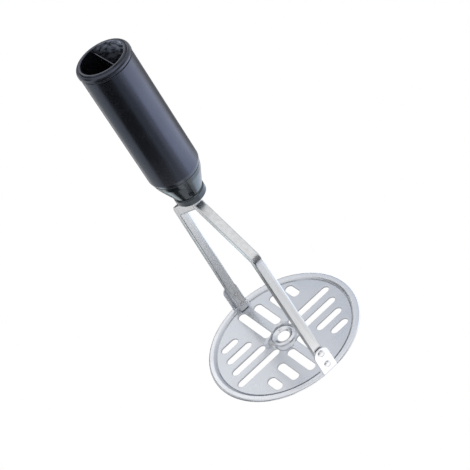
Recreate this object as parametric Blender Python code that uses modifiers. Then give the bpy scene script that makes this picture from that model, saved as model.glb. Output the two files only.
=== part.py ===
"""Hand masher with a perforated press plate, two strap legs and a moulded grip.

Metres, +Z up. The origin is the centre of the press plate's flat underside, the two
legs stand in the XZ plane, and the grip's open end points up.
"""
import math

import bmesh
import bpy
from mathutils import Matrix, Vector

MM = 0.001
FIT = 0.3 * MM                      # gap kept between pieces that touch

# Press plate, a pressed sheet with a raised rim and a raised ring round its centre hole.
PLATE_RADIUS = 47.5 * MM
SHEET = 1.0 * MM
RIM_WIDTH = 4.5 * MM
RIM_RISE = 1.4 * MM
RIM_FILLET = 0.6 * MM
RIM_FALL = 0.85 * MM                # how far the rim's outer edge hangs below the sheet's top
HUB_HOLE_RADIUS = 3.9 * MM
HUB_RING_RADIUS = 7.8 * MM
HUB_RISE = 1.4 * MM
HUB_POWER = 1.5                     # above 1 eases the ring's foot into the plate
HUB_STEPS = 6
PLATE_STEPS = 64
CUT_HEIGHT = 8.0 * MM               # of the tools that cut through the sheet

# Slots: four turned groups of four parallel slots, shorter towards the rim.
SLOT_WIDTH = 5.3 * MM
SLOT_PITCH = 10.2 * MM
SLOT_CENTRE = 23.9 * MM
SLOT_LENGTHS = [31.5 * MM, 25.0 * MM, 18.5 * MM, 12.0 * MM]
SLOT_GROUPS = 4
SLOT_FIRST = 0.5                    # pitches from the group's line to its longest slot
SLOT_END_STEPS = 5

# Ears: tabs of the plate's own sheet, bent up at both sides of the rim.
EAR_WIDTH = 9.8 * MM
EAR_HEIGHT = 18.4 * MM
EAR_CORNER = 4.6 * MM
EAR_BEND = 0.9 * MM
EAR_BEND_STEPS = 4
EAR_OUTER_X = 47.0 * MM
EAR_ROOT = 6.1 * MM
EAR_NOTCH = 0.8 * MM                # cut in the rim beside each ear
EAR_NOTCH_DEPTH = 5.4 * MM          # from the plate's edge inwards

# Strap legs: bar with lightly rounded edges, bent at the top of the upright, and pressed
# thinner where it goes up into the neck as a tang.
STRAP_WIDTH = 5.6 * MM
STRAP_THICKNESS = 6.0 * MM
STRAP_EDGE = 0.5 * MM
BEND_OUTER_RADIUS = 3.4 * MM
BEND_INNER_RADIUS = 1.0 * MM
BEND_STEPS = 4
LEG_LEAN = 4.0 * MM                 # how far a leg leans in from ear to bend
BEND_HEIGHT = 91.5 * MM             # of the bend's outer corner
ARM_SLOPE = 33.0                    # degrees above level
TANG_THICKNESS = 3.4 * MM
TANG_GAP = 0.5 * MM
TANG_TOP = 147.0 * MM
SOFT_ANGLE = 50.0                   # degrees, edges sharper than this are rounded

# Rivets through ear and strap.
RIVET_HEIGHTS = {"lower": 6.2 * MM, "upper": 15.1 * MM}
RIVET_RADIUS = 1.2 * MM
RIVET_HEAD_RADIUS = 1.9 * MM
RIVET_HEAD = 0.6 * MM
RIVET_STEPS = 16
HOLE_LENGTH = 24.0 * MM             # of the tools that drill ear and strap

# Neck core: cone and collar outside, plug and web inside the sleeve.
NECK_BOTTOM = 120.5 * MM
COLLAR_RADIUS = 9.1 * MM
COLLAR_HEIGHT = 4.5 * MM
COLLAR_EDGE = 0.5 * MM
COLLAR_ROUND = 0.8 * MM             # at its lower edge
CONE_RADIUS = 8.6 * MM              # where the cone meets the collar
CONE_TOP_RADIUS = 13.5 * MM
CONE_TOP_HEIGHT = 136.8 * MM
SHOULDER_HEIGHT = 140.0 * MM
SHOULDER_RADIUS = 14.2 * MM
PLUG_EDGE = 0.5 * MM
PLUG_TOP = 158.0 * MM
WEB_THICKNESS = 1.0 * MM
WEB_OFFSET = 0.8 * MM
WEB_TOP = 220.0 * MM
WEB_ROOT = 4.0 * MM                 # how deep the web runs into the plug
FLUTE_WIDTH = 2.6 * MM              # one shallow flute down the cone
FLUTE_DEPTH = 1.0 * MM
FLUTE_BEARING = -13.0               # degrees from +X
FLUTE_LOW = 127.0 * MM
FLUTE_HIGH = 139.2 * MM
CORE_STEPS = 40

# Cross pin that holds both tangs in the neck.
PIN_RADIUS = 1.5 * MM
PIN_LENGTH = 15.0 * MM
PIN_HEIGHT = 132.0 * MM
PIN_CHAMFER = 0.3 * MM

# Grip sleeve: open tube with a domed lip, highest at the bore, and a groove below it.
GRIP_TOP = 221.6 * MM
GRIP_RADIUS = 15.0 * MM
BORE_RADIUS = 12.2 * MM
LIP_CREST_RADIUS = 13.0 * MM
LIP_RADIUS = 15.4 * MM
LIP_FALL = 2.4 * MM                 # from the crest to where the lip is widest
LIP_HEIGHT = 3.5 * MM
LIP_EDGE = 0.4 * MM
GROOVE_DEPTH = 0.6 * MM
GROOVE_HEIGHT = 0.6 * MM
GRIP_EDGE = 0.3 * MM
GRIP_SHOULDER = 3.6 * MM
GRIP_STEPS = 48

# Shared by all pieces.
EDGE_STEPS = 3
CORNER_STEPS = 6
SMOOTH_ANGLE = 35.0
MERGE = 0.01 * MM                   # points closer than this are one


def clear_scene():
    for old in list(bpy.data.objects):
        bpy.data.objects.remove(old, do_unlink=True)


def collection(name):
    made = bpy.data.collections.new(name)
    bpy.context.scene.collection.children.link(made)
    return made


def material(name, colour, roughness, metallic):
    made = bpy.data.materials.new(name)
    made.use_nodes = True
    shader = made.node_tree.nodes["Principled BSDF"]
    shader.inputs["Base Color"].default_value = (*colour, 1.0)
    shader.inputs["Roughness"].default_value = roughness
    shader.inputs["Metallic"].default_value = metallic
    return made


def place(name, mesh, home, surface=None):
    piece = bpy.data.objects.new(name, mesh)
    home.objects.link(piece)
    if surface is not None:
        mesh.materials.append(surface)
    return piece


def hide_as_tool(piece):
    piece.hide_render = True
    piece.display_type = "WIRE"


def arc(centre, radii, start, end, steps):
    """Points on an elliptical arc, angles in degrees."""
    points = []
    for step in range(steps + 1):
        angle = math.radians(start + (end - start) * step / steps)
        points.append((centre[0] + radii[0] * math.cos(angle),
                       centre[1] + radii[1] * math.sin(angle)))
    return points


def without_repeats(points):
    kept = [points[0]]
    for point in points[1:]:
        if math.dist(point, kept[-1]) > MERGE:
            kept.append(point)
    return kept


def offset_path(points, distance):
    """The path moved sideways by distance, to its left, with mitred corners."""
    path = [Vector(point) for point in points]
    moved = []
    for index, point in enumerate(path):
        before = path[index] - path[index - 1] if index else path[1] - path[0]
        after = path[index + 1] - point if index + 1 < len(path) else before
        normal_in = Vector((-before.y, before.x)).normalized()
        normal_out = Vector((-after.y, after.x)).normalized()
        mitre = (normal_in + normal_out).normalized()
        moved.append(tuple(point + mitre * distance / mitre.dot(normal_in)))
    return moved


def rounded_path(corners, radius, steps):
    """An open path through corners, each inner corner replaced by an arc."""
    path = [corners[0]]
    for before, corner, after in zip(corners, corners[1:], corners[2:]):
        here = Vector(corner)
        towards_before = (Vector(before) - here).normalized()
        towards_after = (Vector(after) - here).normalized()
        half_angle = towards_before.angle(towards_after) / 2
        centre = here + (towards_before + towards_after).normalized() * radius / math.sin(half_angle)
        first = here + towards_before * radius / math.tan(half_angle) - centre
        turn = first.angle_signed(here + towards_after * radius / math.tan(half_angle) - centre)
        for step in range(steps + 1):
            spoke = first.copy()
            spoke.rotate(Matrix.Rotation(-turn * step / steps, 2))
            path.append(tuple(centre + spoke))
    path.append(corners[-1])
    return path


def turned(name, profile, steps, home, surface=None, closed=False):
    """A profile of (radius, height) points, outer side top to bottom, turned about Z."""
    mesh = bpy.data.meshes.new(name)
    edges = [(index, index + 1) for index in range(len(profile) - 1)]
    if closed:
        edges.append((len(profile) - 1, 0))
    mesh.from_pydata([(radius, 0.0, height) for radius, height in profile], edges, [])
    piece = place(name, mesh, home, surface)
    screw = piece.modifiers.new("Turn", "SCREW")
    screw.steps = steps
    screw.render_steps = steps
    screw.use_merge_vertices = True
    screw.merge_threshold = MERGE
    screw.use_smooth_shade = True
    return piece


def flat_solid(name, outlines, thickness, turn, home, surface=None):
    """Closed flat outlines given a thickness about their plane, then turned and moved."""
    curve = bpy.data.curves.new(name, "CURVE")
    curve.dimensions = "2D"
    curve.fill_mode = "BOTH"
    curve.extrude = thickness / 2
    for outline in outlines:
        spline = curve.splines.new("POLY")
        spline.points.add(len(outline) - 1)
        for point, (across, along) in zip(spline.points, outline):
            point.co = (across, along, 0.0, 1.0)
        spline.use_cyclic_u = True
    drawn = bpy.data.objects.new(name + "_outline", curve)
    home.objects.link(drawn)
    bpy.context.view_layer.update()
    graph = bpy.context.evaluated_depsgraph_get()
    mesh = bpy.data.meshes.new_from_object(drawn.evaluated_get(graph))
    work = bmesh.new()
    work.from_mesh(mesh)
    bmesh.ops.remove_doubles(work, verts=work.verts, dist=MERGE / 10)
    bmesh.ops.recalc_face_normals(work, faces=work.faces)
    work.to_mesh(mesh)
    work.free()
    bpy.data.objects.remove(drawn, do_unlink=True)
    mesh.name = name
    piece = place(name, mesh, home, surface)
    piece.matrix_world = turn
    return piece


def box(name, low, high, home):
    work = bmesh.new()
    bmesh.ops.create_cube(work, size=1.0)
    size = Vector(high) - Vector(low)
    bmesh.ops.scale(work, vec=size, verts=work.verts)
    mesh = bpy.data.meshes.new(name)
    work.to_mesh(mesh)
    work.free()
    piece = place(name, mesh, home)
    piece.location = (Vector(high) + Vector(low)) / 2
    hide_as_tool(piece)
    return piece


def rod_tool(name, radius, length, centre, home):
    """A round tool along X."""
    work = bmesh.new()
    bmesh.ops.create_cone(work, cap_ends=True, segments=RIVET_STEPS,
                          radius1=radius, radius2=radius, depth=length)
    mesh = bpy.data.meshes.new(name)
    work.to_mesh(mesh)
    work.free()
    piece = place(name, mesh, home)
    piece.rotation_euler = (0.0, math.pi / 2, 0.0)
    piece.location = centre
    hide_as_tool(piece)
    return piece


def boolean(piece, tool, operation):
    step = piece.modifiers.new(operation.title() + "_" + tool.name, "BOOLEAN")
    step.operation = operation
    step.solver = "EXACT"
    step.object = tool


def shade(piece):
    piece.data.shade_smooth()
    piece.data.set_sharp_from_angle(angle=math.radians(SMOOTH_ANGLE))


# Turns that bring a flat outline drawn in XY into the XZ plane and into the YZ plane.
INTO_XZ = Matrix.Rotation(math.pi / 2, 4, "X")
INTO_YZ = Matrix(((0, 0, 1, 0), (1, 0, 0, 0), (0, 1, 0, 0), (0, 0, 0, 1)))


def plate_profile():
    """Closed section of the pressed sheet: hub ring, flat plate, rolled rim."""
    middle = SHEET / 2
    rim_centre = PLATE_RADIUS - middle - RIM_WIDTH / 2 + middle / 2
    rim_half = PLATE_RADIUS - middle - rim_centre
    rim_foot = rim_centre - rim_half - RIM_FILLET
    spring = middle + RIM_FILLET
    path = []
    for step in range(HUB_STEPS + 1):
        share = step / HUB_STEPS
        radius = HUB_HOLE_RADIUS + (HUB_RING_RADIUS - HUB_HOLE_RADIUS) * share
        path.append((radius, middle + HUB_RISE * math.sin(math.pi * share) ** HUB_POWER))
    path += arc((rim_foot, spring), (RIM_FILLET, RIM_FILLET), -90, -15, EDGE_STEPS)
    path += arc((rim_centre, spring), (rim_half, RIM_RISE - RIM_FILLET), 180, 0, CORNER_STEPS)
    path.append((PLATE_RADIUS - middle, SHEET - RIM_FALL))
    path = without_repeats(path)
    return offset_path(path, middle) + offset_path(path, -middle)[::-1]


def slot_outlines():
    """Rounded slots for every group, each group a quarter turn on from the last."""
    outlines = []
    end_radius = SLOT_WIDTH / 2
    for group in range(SLOT_GROUPS):
        spin = Matrix.Rotation(2 * math.pi * group / SLOT_GROUPS, 2)
        for place_in_group, length in enumerate(SLOT_LENGTHS):
            across = SLOT_PITCH * (SLOT_FIRST - place_in_group)
            reach = length / 2 - end_radius
            near = arc((across, -SLOT_CENTRE + reach), (end_radius, end_radius),
                       0, 180, SLOT_END_STEPS)
            far = arc((across, -SLOT_CENTRE - reach), (end_radius, end_radius),
                      180, 360, SLOT_END_STEPS)
            outlines.append([tuple(spin @ Vector(point)) for point in near + far])
    return outlines


def ear_tool(side, tools):
    """The bent-up tab of one side, an L in section with rounded top corners."""
    inner = EAR_OUTER_X - SHEET
    section = [(EAR_OUTER_X - EAR_ROOT, SHEET), (EAR_OUTER_X - EAR_ROOT, 0.0)]
    section += arc((EAR_OUTER_X - EAR_BEND, EAR_BEND), (EAR_BEND, EAR_BEND), -90, 0, EAR_BEND_STEPS)
    section += [(EAR_OUTER_X, EAR_HEIGHT), (inner, EAR_HEIGHT), (inner, SHEET)]
    section = [(side * across, up) for across, up in section]
    label = "right" if side > 0 else "left"
    blank = flat_solid("ear_" + label, [section], EAR_WIDTH, INTO_XZ, tools)
    half = EAR_WIDTH / 2
    front = [(-half, -SHEET), (half, -SHEET)]
    front += arc((half - EAR_CORNER, EAR_HEIGHT - EAR_CORNER), (EAR_CORNER, EAR_CORNER),
                 0, 90, CORNER_STEPS)
    front += arc((EAR_CORNER - half, EAR_HEIGHT - EAR_CORNER), (EAR_CORNER, EAR_CORNER),
                 90, 180, CORNER_STEPS)
    outline = flat_solid("ear_outline_" + label, [front], 2 * EAR_ROOT, INTO_YZ, tools)
    outline.location.x = side * (EAR_OUTER_X - EAR_ROOT / 2)
    hide_as_tool(outline)
    hide_as_tool(blank)
    boolean(blank, outline, "INTERSECT")
    return blank


def rivet_hole(side, height, radius, name, tools):
    return rod_tool(name, radius, HOLE_LENGTH, (side * EAR_OUTER_X, 0.0, height), tools)


def make_plate(parts, tools, steel):
    plate = turned("press_plate", plate_profile(), PLATE_STEPS, parts, steel, closed=True)
    slots = flat_solid("slots", slot_outlines(), CUT_HEIGHT, Matrix.Identity(4), tools)
    hide_as_tool(slots)
    boolean(plate, slots, "DIFFERENCE")
    for side, label in ((1, "right"), (-1, "left")):
        half = EAR_WIDTH / 2 + EAR_NOTCH
        near_x = PLATE_RADIUS - EAR_NOTCH_DEPTH
        ends = sorted((side * near_x, side * (PLATE_RADIUS + SHEET)))
        notch = box("notch_" + label, (ends[0], -half, -CUT_HEIGHT / 2), (ends[1], half, CUT_HEIGHT / 2),
                    tools)
        boolean(plate, notch, "DIFFERENCE")
        boolean(plate, ear_tool(side, tools), "UNION")
        for level, height in RIVET_HEIGHTS.items():
            hole = rivet_hole(side, height, RIVET_RADIUS + FIT, f"ear_hole_{label}_{level}", tools)
            boolean(plate, hole, "DIFFERENCE")
    shade(plate)
    return plate


def leg_outline():
    """Side view of the right leg in the XZ plane: upright, sloping arm and tang."""
    slope = math.radians(ARM_SLOPE)
    foot_x = EAR_OUTER_X - SHEET - FIT
    bend_x = foot_x - LEG_LEAN
    tang_inner = TANG_GAP / 2
    tang_outer = tang_inner + TANG_THICKNESS

    def arm_face(across, depth):
        return BEND_HEIGHT + (bend_x - across) * math.tan(slope) - depth / math.cos(slope)

    face = [(foot_x, SHEET + FIT), (foot_x, EAR_HEIGHT), (bend_x, BEND_HEIGHT),
            (tang_outer, arm_face(tang_outer, 0.0))]
    back = offset_path(face, STRAP_THICKNESS)[:-1]
    back.append((tang_inner, arm_face(tang_inner, STRAP_THICKNESS)))
    outer_side = rounded_path(face + [(tang_outer, TANG_TOP)], BEND_OUTER_RADIUS, BEND_STEPS)
    inner_side = rounded_path(back + [(tang_inner, TANG_TOP)], BEND_INNER_RADIUS, BEND_STEPS)
    return outer_side + inner_side[::-1]


def make_leg(side, label, parts, tools, steel):
    outline = [(side * across, up) for across, up in leg_outline()]
    leg = flat_solid("leg_strap_" + label, [outline], STRAP_WIDTH, INTO_XZ, parts, steel)
    soften = leg.modifiers.new("Soften", "BEVEL")
    soften.width = STRAP_EDGE
    soften.segments = 2
    soften.limit_method = "ANGLE"
    soften.angle_limit = math.radians(SOFT_ANGLE)
    for level, height in RIVET_HEIGHTS.items():
        hole = rivet_hole(side, height, RIVET_RADIUS + FIT, f"strap_hole_{label}_{level}", tools)
        boolean(leg, hole, "DIFFERENCE")
    tang_x = side * (TANG_GAP + TANG_THICKNESS) / 2
    pin_hole = rod_tool("tang_hole_" + label, PIN_RADIUS + FIT, 2 * TANG_THICKNESS,
                        (tang_x, 0.0, PIN_HEIGHT), tools)
    boolean(leg, pin_hole, "DIFFERENCE")
    shade(leg)
    return leg


def make_rivets(parts, steel):
    """Four rivets, a domed head outside the ear and a flatter one inside the strap."""
    outer_face = EAR_OUTER_X + FIT
    inner_face = EAR_OUTER_X - SHEET - FIT - STRAP_THICKNESS - FIT
    top = arc((0.0, outer_face), (RIVET_HEAD_RADIUS, RIVET_HEAD), 90, 0, EDGE_STEPS)
    bottom = arc((0.0, inner_face), (RIVET_HEAD_RADIUS, RIVET_HEAD), 0, -90, EDGE_STEPS)
    profile = top + [(RIVET_RADIUS, outer_face), (RIVET_RADIUS, inner_face)] + bottom
    for side, label in ((1, "right"), (-1, "left")):
        for level, height in RIVET_HEIGHTS.items():
            rivet = turned(f"rivet_{label}_{level}", profile, RIVET_STEPS, parts, steel)
            rivet.rotation_euler = (0.0, side * math.pi / 2, 0.0)
            rivet.location = (0.0, 0.0, height)
            shade(rivet)


def flute_tool(tools):
    """A box let into the cone along its slope."""
    collar_top = NECK_BOTTOM + COLLAR_HEIGHT
    cone = Vector((CONE_TOP_RADIUS - CONE_RADIUS, CONE_TOP_HEIGHT - collar_top))
    foot_radius = CONE_RADIUS + cone.x * (FLUTE_LOW - collar_top) / cone.y
    length = (FLUTE_HIGH - FLUTE_LOW) * cone.length / cone.y
    tool = box("flute", (-FLUTE_DEPTH, -FLUTE_WIDTH / 2, 0.0), (FLUTE_DEPTH, FLUTE_WIDTH / 2, length), tools)
    tool.data.transform(Matrix.Translation((0.0, 0.0, length / 2)))
    turn = Matrix.Rotation(math.radians(FLUTE_BEARING), 4, "Z")
    lean = Matrix.Rotation(math.atan2(cone.x, cone.y), 4, "Y")
    tool.matrix_world = turn @ Matrix.Translation((foot_radius, 0.0, FLUTE_LOW)) @ lean
    return tool


def make_core(parts, tools, plastic):
    plug_radius = BORE_RADIUS - FIT
    collar_top = NECK_BOTTOM + COLLAR_HEIGHT
    profile = [(0.0, PLUG_TOP), (plug_radius - PLUG_EDGE, PLUG_TOP), (plug_radius, PLUG_TOP - PLUG_EDGE),
               (plug_radius, SHOULDER_HEIGHT), (SHOULDER_RADIUS, SHOULDER_HEIGHT),
               (CONE_TOP_RADIUS, CONE_TOP_HEIGHT), (CONE_RADIUS, collar_top),
               (COLLAR_RADIUS, collar_top - COLLAR_EDGE)]
    profile += arc((COLLAR_RADIUS - COLLAR_ROUND, NECK_BOTTOM + COLLAR_ROUND),
                   (COLLAR_ROUND, COLLAR_ROUND), 0, -90, EDGE_STEPS)
    profile.append((0.0, NECK_BOTTOM))
    core = turned("neck_core", profile, CORE_STEPS, parts, plastic)
    half_web = WEB_THICKNESS / 2
    web = box("web", (FIT - BORE_RADIUS, WEB_OFFSET - half_web, PLUG_TOP - WEB_ROOT),
              (BORE_RADIUS - FIT, WEB_OFFSET + half_web, WEB_TOP), tools)
    boolean(core, web, "UNION")
    boolean(core, flute_tool(tools), "DIFFERENCE")
    pocket_x = TANG_GAP / 2 + TANG_THICKNESS + FIT
    pocket_y = STRAP_WIDTH / 2 + FIT
    pocket = box("tang_pocket", (-pocket_x, -pocket_y, NECK_BOTTOM - SHEET),
                 (pocket_x, pocket_y, TANG_TOP + FIT), tools)
    boolean(core, pocket, "DIFFERENCE")
    bore = rod_tool("pin_bore", PIN_RADIUS + FIT, PIN_LENGTH + 2 * FIT, (0.0, 0.0, PIN_HEIGHT), tools)
    boolean(core, bore, "DIFFERENCE")
    shade(core)
    return core


def make_pin(parts, steel):
    half = PIN_LENGTH / 2
    profile = [(0.0, half), (PIN_RADIUS - PIN_CHAMFER, half), (PIN_RADIUS, half - PIN_CHAMFER),
               (PIN_RADIUS, PIN_CHAMFER - half), (PIN_RADIUS - PIN_CHAMFER, -half), (0.0, -half)]
    pin = turned("tang_pin", profile, RIVET_STEPS, parts, steel)
    pin.rotation_euler = (0.0, math.pi / 2, 0.0)
    pin.location = (0.0, 0.0, PIN_HEIGHT)
    shade(pin)
    return pin


def make_sleeve(parts, plastic):
    lip_bottom = GRIP_TOP - LIP_HEIGHT
    groove_radius = GRIP_RADIUS - GROOVE_DEPTH
    groove_bottom = lip_bottom - GROOVE_HEIGHT
    foot = SHOULDER_HEIGHT + FIT
    profile = [(BORE_RADIUS, GRIP_TOP - LIP_EDGE), (BORE_RADIUS + LIP_EDGE, GRIP_TOP)]
    profile += arc((LIP_CREST_RADIUS, GRIP_TOP - LIP_FALL), (LIP_RADIUS - LIP_CREST_RADIUS, LIP_FALL),
                   90, 0, CORNER_STEPS)
    profile += [(LIP_RADIUS, lip_bottom + LIP_EDGE), (LIP_RADIUS - LIP_EDGE, lip_bottom),
                (groove_radius, lip_bottom), (groove_radius, groove_bottom),
                (GRIP_RADIUS - GRIP_EDGE, groove_bottom), (GRIP_RADIUS, groove_bottom - GRIP_EDGE)]
    profile += arc((SHOULDER_RADIUS, foot + GRIP_SHOULDER),
                   (GRIP_RADIUS - SHOULDER_RADIUS, GRIP_SHOULDER), 0, -90, CORNER_STEPS)
    profile.append((BORE_RADIUS, foot))
    profile = without_repeats(profile)
    sleeve = turned("grip_sleeve", profile, GRIP_STEPS, parts, plastic, closed=True)
    shade(sleeve)
    return sleeve


def main():
    clear_scene()
    parts = collection("masher")
    tools = collection("masher_tools")
    steel = material("stainless_steel", (0.62, 0.63, 0.65), 0.28, 1.0)
    rivet_steel = material("rivet_steel", (0.55, 0.56, 0.58), 0.35, 1.0)
    grip_plastic = material("grip_plastic", (0.012, 0.013, 0.016), 0.25, 0.0)
    core_plastic = material("core_plastic", (0.012, 0.013, 0.016), 0.2, 0.0)
    make_plate(parts, tools, steel)
    make_leg(1, "right", parts, tools, steel)
    make_leg(-1, "left", parts, tools, steel)
    make_rivets(parts, rivet_steel)
    make_core(parts, tools, core_plastic)
    make_pin(parts, rivet_steel)
    make_sleeve(parts, grip_plastic)


main()
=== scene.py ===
"""Looks for the hand masher: fine pieces, finishes, a plain white set and the camera.

Metres, +Z up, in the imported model's frame. The legs stand in the XZ plane.
"""
import math

import bmesh
import bpy
from mathutils import Matrix, Vector


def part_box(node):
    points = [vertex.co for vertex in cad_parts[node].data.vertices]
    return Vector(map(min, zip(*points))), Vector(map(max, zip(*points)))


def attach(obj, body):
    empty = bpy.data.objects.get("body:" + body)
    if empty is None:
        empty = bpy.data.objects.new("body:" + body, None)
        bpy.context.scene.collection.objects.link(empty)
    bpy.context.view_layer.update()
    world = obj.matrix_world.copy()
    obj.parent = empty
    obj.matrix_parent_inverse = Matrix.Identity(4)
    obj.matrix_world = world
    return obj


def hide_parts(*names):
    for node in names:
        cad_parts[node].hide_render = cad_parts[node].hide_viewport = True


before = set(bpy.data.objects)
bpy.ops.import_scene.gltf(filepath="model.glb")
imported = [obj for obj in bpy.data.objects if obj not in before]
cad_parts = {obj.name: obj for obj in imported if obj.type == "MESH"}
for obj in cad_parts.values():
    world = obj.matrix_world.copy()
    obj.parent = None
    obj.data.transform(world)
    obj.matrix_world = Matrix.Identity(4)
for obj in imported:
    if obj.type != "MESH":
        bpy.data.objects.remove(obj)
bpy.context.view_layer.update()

MM = 0.001
FIT = 0.3 * MM
BODY = "root"
MERGE = 0.002 * MM                  # points closer than this are one
SHARP_ANGLE = 40.0                  # degrees, steel edges sharper than this stay crisp
NECK_SHARP_ANGLE = 30.0
GRIP_SHARP_ANGLE = 35.0

# Sizes that the frame gives.
PLATE_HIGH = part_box("press_plate")[1]
LEG_LOW, LEG_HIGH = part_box("leg_strap_right")
RIVET_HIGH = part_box("rivet_right_lower")[1]
NECK_LOW, NECK_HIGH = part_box("neck_core")
GRIP_LOW, GRIP_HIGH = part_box("grip_sleeve")
PLATE_RADIUS = PLATE_HIGH.y
EAR_HEIGHT = PLATE_HIGH.z
SHEET = LEG_LOW.z - FIT
EAR_OUTER_X = LEG_HIGH.x + FIT + SHEET
STRAP_WIDTH = LEG_HIGH.y - LEG_LOW.y
TANG_INNER = LEG_LOW.x
TANG_TOP = LEG_HIGH.z
RIVET_HEAD_RADIUS = RIVET_HIGH.y

# Press plate: centre lines of the rim and of the ring, as (radius, rise) in mm.
RIM_CORNERS = ((41.0, 0.0), (42.6, 0.0), (43.1, 0.85), (44.3, 1.2), (47.0, 1.2), (47.0, 0.1))
RIM_ROUNDS = (0.55 * MM, 0.55 * MM, 0.55 * MM, 0.6 * MM)
RIM_STEPS = 6
RIM_EDGE_DROP = 0.05 * MM
HUB_CORNERS = ((8.5, 0.0), (7.9, 0.0), (7.3, 1.0), (6.3, 1.4), (4.9, 0.75), (4.2, 0.1))
HUB_ROUND = 0.5 * MM
HUB_STEPS = 5
TURN_STEPS = 240

# Slots: four turned groups of four parallel slots, shorter towards the rim.
SLOT_WIDTH = 5.3 * MM
SLOT_PITCH = 10.2 * MM
SLOT_CENTRE = 23.9 * MM
SLOT_LENGTHS = (31.5 * MM, 25.0 * MM, 18.5 * MM, 12.0 * MM)
SLOT_GROUPS = 4
SLOT_END_STEPS = 14
SLOT_EDGE_STEPS = 4
SLOT_EDGE = 0.3 * MM

# Ears.
EAR_WIDTH = 9.8 * MM
EAR_CORNER = 4.6 * MM
EAR_BEND = 0.8 * MM
EAR_ROOT = 6.1 * MM
EAR_NOTCH = 0.12 * MM
EAR_NOTCH_DEPTH = 5.4 * MM
EAR_EDGE = 0.22 * MM
EAR_CORNER_STEPS = 12
EAR_BEND_CUTS = 8
EAR_SOFT_ANGLE = 60.0

# Legs.
STRAP_THICKNESS = 6.0 * MM
STRAP_EDGE = 0.8 * MM
STRAP_EDGE_STEPS = 4
STRAP_EDGE_LEAST = 0.1 * MM
LEG_END_ROUND = 0.4 * MM
LEG_LEAN = 4.0 * MM
BEND_HEIGHT = 91.5 * MM
ARM_SLOPE = math.radians(33.0)
TANG_THICKNESS = 3.4 * MM
BEND_OUTER_RADIUS = 7.0 * MM
TANG_CORNER_RADIUS = 0.4 * MM
BEND_INNER_RADIUS = 1.0 * MM
BEND_STEPS = 8

# Rivets.
RIVET_HEIGHTS = {"lower": 6.2 * MM, "upper": 15.1 * MM}
RIVET_RADIUS = 1.2 * MM
RIVET_HEAD = 0.6 * MM
RIVET_RIM = 0.12 * MM               # rounding at the head's edge
RIVET_GROOVE_RADIUS = 1.5 * MM      # of the ring turned in the head
RIVET_GROOVE_HALF = 0.2 * MM
RIVET_GROOVE_DEPTH = 0.15 * MM
RIVET_LIP = 0.02 * MM
RIVET_TAIL = 0.05 * MM
HOLE_LENGTH = 24.0 * MM

# Neck and its web.
COLLAR_RADIUS = 9.1 * MM
COLLAR_HEIGHT = 4.5 * MM
CONE_RADIUS = 8.6 * MM
CONE_TOP_RADIUS = 13.5 * MM
CONE_TOP_HEIGHT = 136.8 * MM
SHOULDER_HEIGHT = 140.0 * MM
PLUG_TOP = 158.0 * MM
WEB_THICKNESS = 0.6 * MM
WEB_OFFSET = 0.8 * MM
FLUTE_WIDTH = 2.6 * MM
FLUTE_DEPTH = 1.0 * MM
FLUTE_BEARING = -13.0
FLUTE_LOW = 127.0 * MM
FLUTE_HIGH = 139.2 * MM
FLUTE_EDGE = 0.3 * MM
PLUG_EDGE = 0.5 * MM
SHOULDER_EDGE = 0.15 * MM
COLLAR_TOP_FALL = 0.6 * MM
CONE_ROUNDS = (6.0 * MM, 0.3 * MM, 0.5 * MM)
COLLAR_ROUND = 0.9 * MM
WEB_EDGE = 0.2 * MM
WEB_ROOT = 4.0 * MM                 # how deep the web runs into the plug
CORE_STEPS = 160

# Grip.
BORE_RADIUS = 12.2 * MM
GRIP_RADIUS = 15.0 * MM
LIP_CREST_RADIUS = 13.0 * MM
LIP_LINE_RADIUS = 13.9 * MM
LIP_LINE_DEPTH = 0.6 * MM
LIP_FALL = 2.4 * MM
LIP_HEIGHT = 3.5 * MM
LIP_EDGE = 0.4 * MM
# Lowest height of the painted light on the bore's wall.
PAINTED_LIGHT_LOW = 207.0 * MM
GROOVE_DEPTH = 0.6 * MM
GROOVE_HEIGHT = 0.6 * MM
GROOVE_ROUND = 0.2 * MM
GROOVE_EDGE = 0.3 * MM
SHOULDER_ROUND = 3.0 * MM
SHOULDER_RISE = 2.3 * MM
GRIP_STEPS = 160


def arc(centre, radii, start, end, steps):
    """Points on an elliptical arc, angles in degrees."""
    points = []
    for step in range(steps + 1):
        angle = math.radians(start + (end - start) * step / steps)
        points.append((centre[0] + radii[0] * math.cos(angle),
                       centre[1] + radii[1] * math.sin(angle)))
    return points


def offset_path(points, distance):
    """The path moved sideways by distance, to its left, with mitred corners."""
    path = [Vector(point) for point in points]
    moved = []
    for index, point in enumerate(path):
        before = path[index] - path[index - 1] if index else path[1] - path[0]
        after = path[index + 1] - point if index + 1 < len(path) else before
        normal_in = Vector((-before.y, before.x)).normalized()
        normal_out = Vector((-after.y, after.x)).normalized()
        mitre = (normal_in + normal_out).normalized()
        moved.append(tuple(point + mitre * distance / mitre.dot(normal_in)))
    return moved


def rounded_path(corners, radii, steps):
    """An open path through corners, each inner corner replaced by an arc of its own radius."""
    path = [corners[0]]
    for before, corner, after, radius in zip(corners, corners[1:], corners[2:], radii):
        here = Vector(corner)
        towards_before = (Vector(before) - here).normalized()
        towards_after = (Vector(after) - here).normalized()
        half_angle = towards_before.angle(towards_after) / 2
        centre = here + (towards_before + towards_after).normalized() * radius / math.sin(half_angle)
        first = here + towards_before * radius / math.tan(half_angle) - centre
        turn = first.angle_signed(here + towards_after * radius / math.tan(half_angle) - centre)
        for step in range(steps + 1):
            spoke = first.copy()
            spoke.rotate(Matrix.Rotation(-turn * step / steps, 2))
            path.append(tuple(centre + spoke))
    path.append(corners[-1])
    return path


# ---------------------------------------------------------------- mesh helpers

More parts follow.
